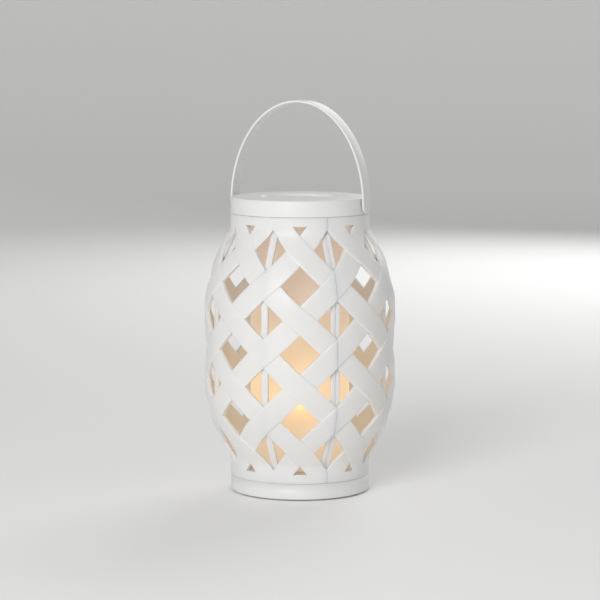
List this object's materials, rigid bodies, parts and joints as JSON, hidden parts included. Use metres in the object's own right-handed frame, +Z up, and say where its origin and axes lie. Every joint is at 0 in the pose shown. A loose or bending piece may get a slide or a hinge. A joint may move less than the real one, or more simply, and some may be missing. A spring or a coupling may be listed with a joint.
{
  "type": "battery lantern",
  "caption": "Barrel-shaped LED lantern with an open basket-weave plastic shell, frosted inner pillar, closed lid and a swinging bail handle; battery bay in the base.",
  "frame": {"origin": "middle of the underside, on the surface that the foot pads stand on", "axes": "+Z up along the body's axis, -Y is the front, the shell halves meet on the vertical plane 22.5 degrees from the front towards +X"},
  "size_m": [0.1402, 0.1402, 0.2874],
  "materials": {
    "shell": "moulded white plastic, woven band relief",
    "lid": "moulded white plastic",
    "bail": "moulded white plastic strap",
    "base": "moulded white plastic",
    "door": "moulded white plastic",
    "inner_white": "moulded off-white plastic",
    "holder": "moulded black plastic",
    "diffuser": "frosted translucent plastic, lit warm from inside",
    "flame": "clear warm-tinted plastic lens, lit",
    "led": "phosphor-coated LED chip",
    "board": "green solder mask on glass-fibre board",
    "board_white": "white solder mask on aluminium board",
    "chip": "black epoxy package",
    "cell": "printed sleeve on a steel can",
    "contact": "nickel-plated spring steel",
    "screw": "zinc-plated steel",
    "pad": "soft light-grey foot pad",
    "knob": "moulded white plastic",
    "switch": "moulded black plastic",
    "lead_black": "black PVC sleeve",
    "lead_red": "red PVC sleeve"
  },
  "bodies": {
    "housing": {"base_deck": "inner_white", "base_tray": "base", "battery_1": "cell", "battery_2": "cell", "battery_3": "cell", "battery_holder": "holder", "contact_plate_minus_1": "contact", "contact_plate_minus_2": "contact", "contact_plate_minus_3": "contact", "contact_plate_plus_1": "contact", "contact_plate_plus_2": "contact", "contact_plate_plus_3": "contact", "contact_spring_1": "contact", "contact_spring_2": "contact", "contact_spring_3": "contact", "diffuser_tube": "diffuser", "flame_lens": "flame", "foot_pad_1": "pad", "foot_pad_2": "pad", "foot_pad_3": "pad", "foot_pad_4": "pad", "lead_black": "lead_black", "lead_red": "lead_red", "led_board": "board_white", "led_chip": "led", "led_post": "inner_white", "shell_half_left": "shell", "shell_half_right": "shell", "switch_body": "switch", "timer_board": "board", "timer_chip": "chip", "top_lid": "lid", "tray_screw_1": "screw", "tray_screw_2": "screw", "tray_screw_3": "screw", "tray_screw_4": "screw"},
    "bail": {"handle": "bail"},
    "door": {"battery_door": "door", "battery_door_screw": "screw"},
    "knob": {"switch_knob": "knob"}
  },
  "joints": [
    {"name": "handle_swing", "type": "hinge", "parent": "housing", "child": "bail", "pos_m": [0, 0, 0.2128], "axis": [0.9239, -0.3827, 0], "range_deg": [-112, 112]},
    {"name": "door_tilt", "type": "hinge", "parent": "housing", "child": "door", "pos_m": [-0.02855, 0, 0.0009], "axis": [0, 1, 0], "range_deg": [0, 100]},
    {"name": "knob_slide", "type": "slide", "parent": "housing", "child": "knob", "axis": [1, 0, 0], "range_m": [-0.003, 0.003]}
  ]
}
